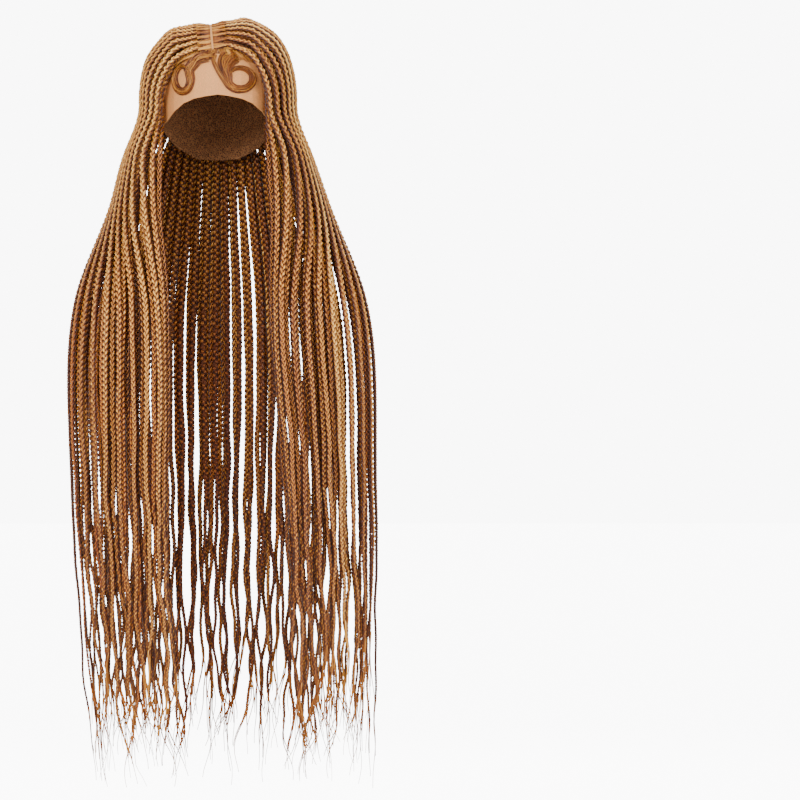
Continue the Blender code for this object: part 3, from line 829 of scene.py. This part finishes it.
def add_lock(bundle, lock, seed):
    """A ribbon of fine hairs laid along the middle line of a lock."""
    middle = lock_middle(lock)
    knots = np.arange(len(middle), dtype=float)
    for number in range(lock.hairs):
        spread = scatter(number, seed, 9)
        begin = LOCK_ROOT_SPREAD * abs(scatter(number, seed, 1))
        end = knots[-1] - LOCK_TIP_SPREAD * abs(scatter(number, seed, 2))
        at = np.linspace(begin, end, LOCK_HAIR_POINTS)
        line = smooth_through(knots, middle, at) * [HEAD[0], HEAD[2]]
        heading = unit(np.gradient(line, axis=0))
        beside = np.stack([heading[:, 1], -heading[:, 0]], axis=1)
        half = lock.half_scale * np.interp(at / knots[-1], *RIBBON_HALF)
        drift = LOCK_DRIFT * np.sin(at * 0.9 + 6 * scatter(number, seed, 3))
        placed = line + beside * (half * (spread + drift))[:, None]
        heap = LOCK_HEAP[0] + LOCK_HEAP[1] * (1 - spread * spread) * abs(scatter(number, seed, 4))
        heights = np.full(len(at), LACE_WALL + heap)
        points, normals = front_points(placed / [HEAD[0], HEAD[2]], heights)
        thick = np.interp(at / knots[-1], *LOCK_HAIR_RADIUS)
        rings = tube_rings(points, normals, thick, thick, 3)
        # Painted shade towards the ribbon's edges
        tone = LOCK_TONE + LOCK_TONE_SPREAD * scatter(number, seed, 5) - LOCK_EDGE_SHADE * spread * spread
        bundle.add_tube(rings, tone, EDGE_HAIR_HEIGHT, LOCK_AUBURN, at * 0.01, spread)


# Baby hair starts just inside the cap's front edge, whose way down goes by the way round, both in degrees
BABY_HAIRS = 110
BABY_HAIR_SPAN = (1, 49)
BABY_HAIR_INSIDE = 3.0
BABY_HAIR_REACH = (3.0, 2.5)
BABY_HAIR_TURN = 9
BABY_HAIR_RADIUS = ((0, 1), (0.00034, 0.00014))
BABY_HAIR_TONE = (0.34, 0.30)
BABY_HAIR_HEIGHT = (0.0006, 0.0004)
CAP_EDGE = ((0.0, 20.0, 38.0, 53.0), (53.0, 54.0, 57.0, 68.0))


def add_baby_hair(bundle, side, number):
    """One fine hair from under the hairline, combed down and away from the part on to the lace."""
    place = (number + 0.5 * scatter(number, side, 6)) / BABY_HAIRS
    azimuth = side * (BABY_HAIR_SPAN[0] + BABY_HAIR_SPAN[1] * place)
    start = float(np.interp(abs(azimuth), *CAP_EDGE)) - BABY_HAIR_INSIDE
    reach = BABY_HAIR_REACH[0] + BABY_HAIR_REACH[1] * abs(scatter(number, side, 7))
    steps = np.linspace(0, 1, 6)
    path = [
        head_direction(azimuth + side * BABY_HAIR_TURN * t * t, start + (BABY_HAIR_INSIDE + reach) * t)
        for t in steps
    ]
    height = CAP_WALL + BABY_HAIR_HEIGHT[0] + BABY_HAIR_HEIGHT[1] * scatter(number, side, 8)
    points, normals = head_points(np.array(path), height)
    thick = np.interp(steps, *BABY_HAIR_RADIUS)
    rings = tube_rings(points, normals, thick, thick, 3)
    tone = BABY_HAIR_TONE[0] + BABY_HAIR_TONE[1] * scatter(number, side, 11)
    bundle.add_tube(rings, tone, EDGE_HAIR_HEIGHT, 0.0, steps * LAID_LENGTH, azimuth)


for seed, (name, locks) in enumerate(LOCKS.items()):
    bundle = Bundle()
    for number, lock in enumerate(locks):
        add_lock(bundle, lock, 1 + 2 * seed + number)
    for number in range(BABY_HAIRS):
        add_baby_hair(bundle, -1 if name.endswith("left") else 1, number)
    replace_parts(bundle.finish(f"{name}_hairs", hair), name)


# Floor and studio light
# A plain pale floor of matt paper below the tips, and large soft lamps in front, behind and above, as in a
# white studio.
FLOOR_DROP = 0.05
PAPER = "#F6F6F4"
FLOOR_REACH = 30.0

floor_mesh = bmesh.new()
bmesh.ops.create_grid(floor_mesh, x_segments=1, y_segments=1, size=FLOOR_REACH)
bmesh.ops.translate(floor_mesh, verts=floor_mesh.verts, vec=(0, 0, -WIG_LENGTH - FLOOR_DROP))
floor = bpy.data.objects.new("floor", bpy.data.meshes.new("floor"))
floor_mesh.to_mesh(floor.data)
floor_mesh.free()
paper, tree, shader = new_material("matt white paper", Roughness=0.9, Specular_IOR_Level=0.1)
shader.inputs["Base Color"].default_value = colour(PAPER)
floor.data.materials.append(paper)
bpy.context.scene.collection.objects.link(floor)
floor.visible_diffuse = False
floor.visible_glossy = False

# Walls and floor glow white to the camera, as lit screens do, and the hair gets less light from them
GLOW = "#FFFFFF"
WALL_GLOW = 9.0
WALL_LIGHT = 1.0
FLOOR_GLOW = 9.0
shader.inputs["Emission Color"].default_value = colour(GLOW)
shader.inputs["Emission Strength"].default_value = FLOOR_GLOW

world = bpy.data.worlds.new("white studio")
world.use_nodes = True
background = world.node_tree.nodes["Background"]
background.inputs["Color"].default_value = colour(GLOW)
seen = add(world.node_tree, "ShaderNodeLightPath").outputs["Is Camera Ray"]
glow = add(
    world.node_tree, "ShaderNodeMapRange", {"Value": seen, "To Min": WALL_LIGHT, "To Max": WALL_GLOW},
)
world.node_tree.links.new(glow.outputs["Result"], background.inputs["Strength"])
bpy.context.scene.world = world

# Name, place, size across and power in watts
LAMP_AIM = Vector((0.0, 0.0, -0.35))
LAMPS = (
    ("key lamp", (-1.2, -2.8, 1.0), 1.0, 92.0),
    ("fill lamp", (1.6, -2.5, 0.3), 1.4, 50.0),
    ("back lamp", (0.4, 2.4, 1.2), 1.4, 50.0),
    ("top lamp", (0.0, -0.3, 1.8), 0.8, 10.0),
)
for name, place, size, power in LAMPS:
    lamp = bpy.data.objects.new(name, bpy.data.lights.new(name, "AREA"))
    lamp.data.size = size
    lamp.data.energy = power
    lamp.location = place
    lamp.rotation_euler = (LAMP_AIM - lamp.location).to_track_quat("-Z", "Y").to_euler()
    bpy.context.scene.collection.objects.link(lamp)
